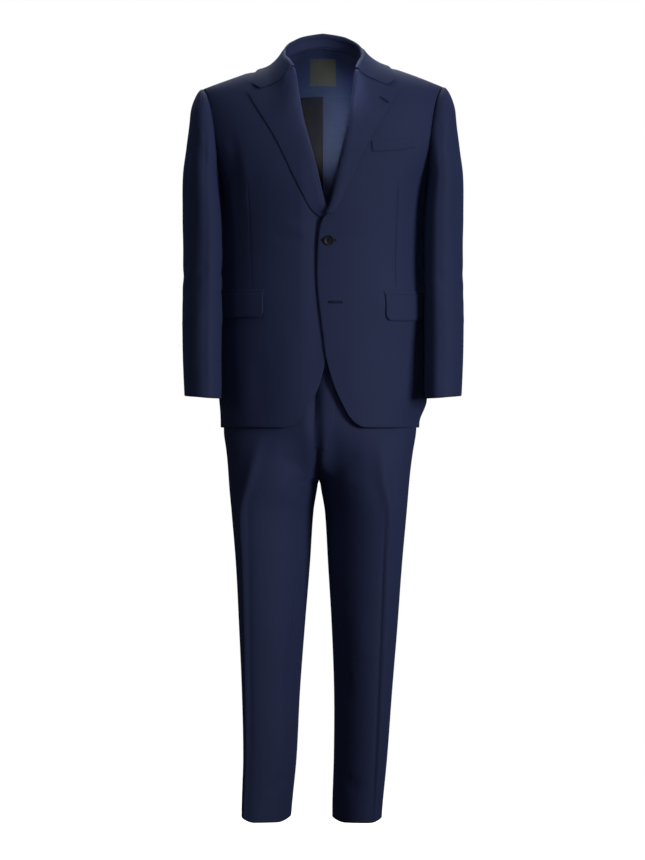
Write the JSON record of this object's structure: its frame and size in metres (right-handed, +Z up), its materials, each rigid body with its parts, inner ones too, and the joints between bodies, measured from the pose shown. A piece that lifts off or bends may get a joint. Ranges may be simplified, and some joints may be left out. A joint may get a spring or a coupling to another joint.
{
  "type": "two-piece suit",
  "caption": "Single-breasted notch-lapel suit jacket, buttoned, over straight full-length trousers; hollow and filled out as worn.",
  "frame": {"origin": "nape of the neck, just under the seam where the collar is sewn to the back", "axes": "+Z up, -Y out of the front of the suit, +X towards the wearer's left"},
  "size_m": [0.5624, 0.2776, 1.5745],
  "materials": {
    "suiting": "fine navy wool, soft sheen",
    "lining": "smooth blue-grey lining satin",
    "label": "bare woven label, dark grey",
    "horn": "dark four-hole buttons, dull polish"
  },
  "bodies": {
    "root": {"back_left": "suiting", "back_right": "suiting", "breast_welt": "suiting", "collar_fall": "suiting", "collar_stand": "suiting", "cuff_button_left_1": "horn", "cuff_button_left_2": "horn", "cuff_button_left_3": "horn", "cuff_button_left_4": "horn", "cuff_button_right_1": "horn", "cuff_button_right_2": "horn", "cuff_button_right_3": "horn", "cuff_button_right_4": "horn", "fly": "suiting", "forepart_left": "suiting", "forepart_right": "suiting", "front_button": "horn", "label": "label", "lapel_left": "suiting", "lapel_right": "suiting", "lining_back_left": "lining", "lining_back_right": "lining", "lower_button": "horn", "neck_facing": "suiting", "pocket_flap_left": "suiting", "pocket_flap_right": "suiting", "pocket_jet_left": "suiting", "pocket_jet_right": "suiting", "side_panel_left": "suiting", "side_panel_right": "suiting", "top_sleeve_left": "suiting", "top_sleeve_right": "suiting", "trouser_back_left": "suiting", "trouser_back_right": "suiting", "trouser_front_left": "suiting", "trouser_front_right": "suiting", "under_sleeve_left": "suiting", "under_sleeve_right": "suiting", "waistband_left": "suiting", "waistband_right": "suiting"}
  },
  "joints": []
}
